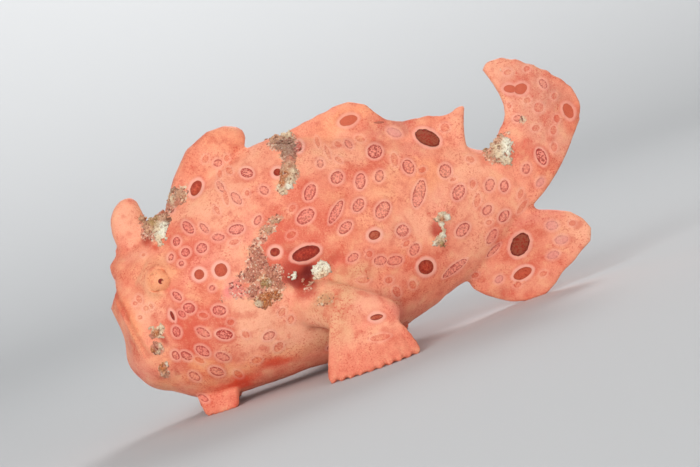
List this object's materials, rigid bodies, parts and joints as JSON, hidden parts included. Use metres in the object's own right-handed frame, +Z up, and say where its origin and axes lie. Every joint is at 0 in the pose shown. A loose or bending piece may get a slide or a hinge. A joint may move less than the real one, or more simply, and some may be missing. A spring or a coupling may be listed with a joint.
{
  "type": "painted frogfish",
  "caption": "Still life-size frogfish resting on its limb-like fins: plump body, upturned mouth, lobed back spines, rayed fins and warty skin.",
  "frame": {"origin": "on the floor under the middle of the bounding box", "axes": "+Z up, head towards -X, the fish's left side towards -Y"},
  "size_m": [0.1284, 0.0682, 0.0662],
  "materials": {
    "skin": "soft salmon-pink skin with a faint wet sheen, ring marks and crusty warts",
    "fin": "fleshy salmon-pink fin skin over the rays",
    "eye": "glossy orange eye with short dark rays and a small dark pupil"
  },
  "bodies": {
    "root": {"head": "skin", "lower_jaw": "skin", "trunk": "skin", "tail_stalk": "skin", "eye_left": "eye", "eye_right": "eye", "second_dorsal_spine": "skin", "third_dorsal_spine": "skin", "lure_rod": "skin", "dorsal_fin": "fin", "anal_fin": "fin", "tail_fin": "fin", "pectoral_arm_left": "skin", "pectoral_arm_right": "skin", "pectoral_fin_left": "fin", "pectoral_fin_right": "fin", "pelvic_fin_left": "fin", "pelvic_fin_right": "fin"}
  },
  "joints": []
}
